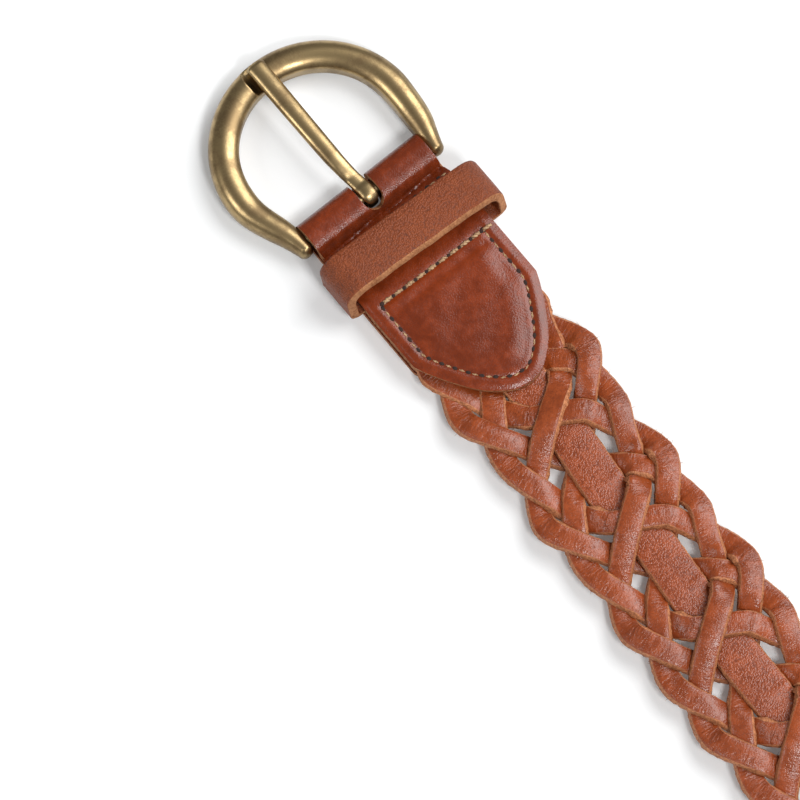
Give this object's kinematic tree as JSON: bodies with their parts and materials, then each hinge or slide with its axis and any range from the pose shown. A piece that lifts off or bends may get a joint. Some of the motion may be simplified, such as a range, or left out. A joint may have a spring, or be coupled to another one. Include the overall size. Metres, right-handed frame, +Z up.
{
  "type": "braided leather belt",
  "caption": "Braided leather waist belt lying flat, with a rounded horseshoe buckle, swinging prong, keeper loop, stitched shield-shaped chape and plain rounded tip.",
  "frame": {"origin": "on the table under the middle of the belt's box", "axes": "+X along the belt from the buckle to the tip, +Y across it, +Z up from the table"},
  "size_m": [0.8656, 0.0494, 0.0145],
  "materials": {
    "buckle_brass": "antique satin",
    "prong_brass": "antique satin",
    "chape_leather": "smooth, lightly waxed",
    "keeper_leather": "fine grain",
    "centre_leather": "coarse grain",
    "strand_leather": "smooth with raw edges"
  },
  "bodies": {
    "strap": {"chape": "chape_leather", "keeper": "keeper_leather", "centre_strand": "centre_leather", "strand_1": "strand_leather", "strand_2": "strand_leather", "strand_3": "strand_leather", "strand_4": "strand_leather", "strand_5": "strand_leather", "strand_6": "strand_leather", "tip": "chape_leather"},
    "buckle": {"buckle_frame": "buckle_brass"},
    "tongue": {"prong": "prong_brass"}
  },
  "joints": [
    {"name": "buckle_swivel", "type": "hinge", "parent": "strap", "child": "buckle", "pos_m": [-0.39456, 0.00052, 0.0038], "axis": [-0.0314, 0.9995, 0], "range_deg": [-70, 20]},
    {"name": "prong_pivot", "type": "hinge", "parent": "buckle", "child": "tongue", "pos_m": [-0.39456, 0.00052, 0.0038], "axis": [-0.0314, 0.9995, 0], "range_deg": [0, 85]}
  ]
}
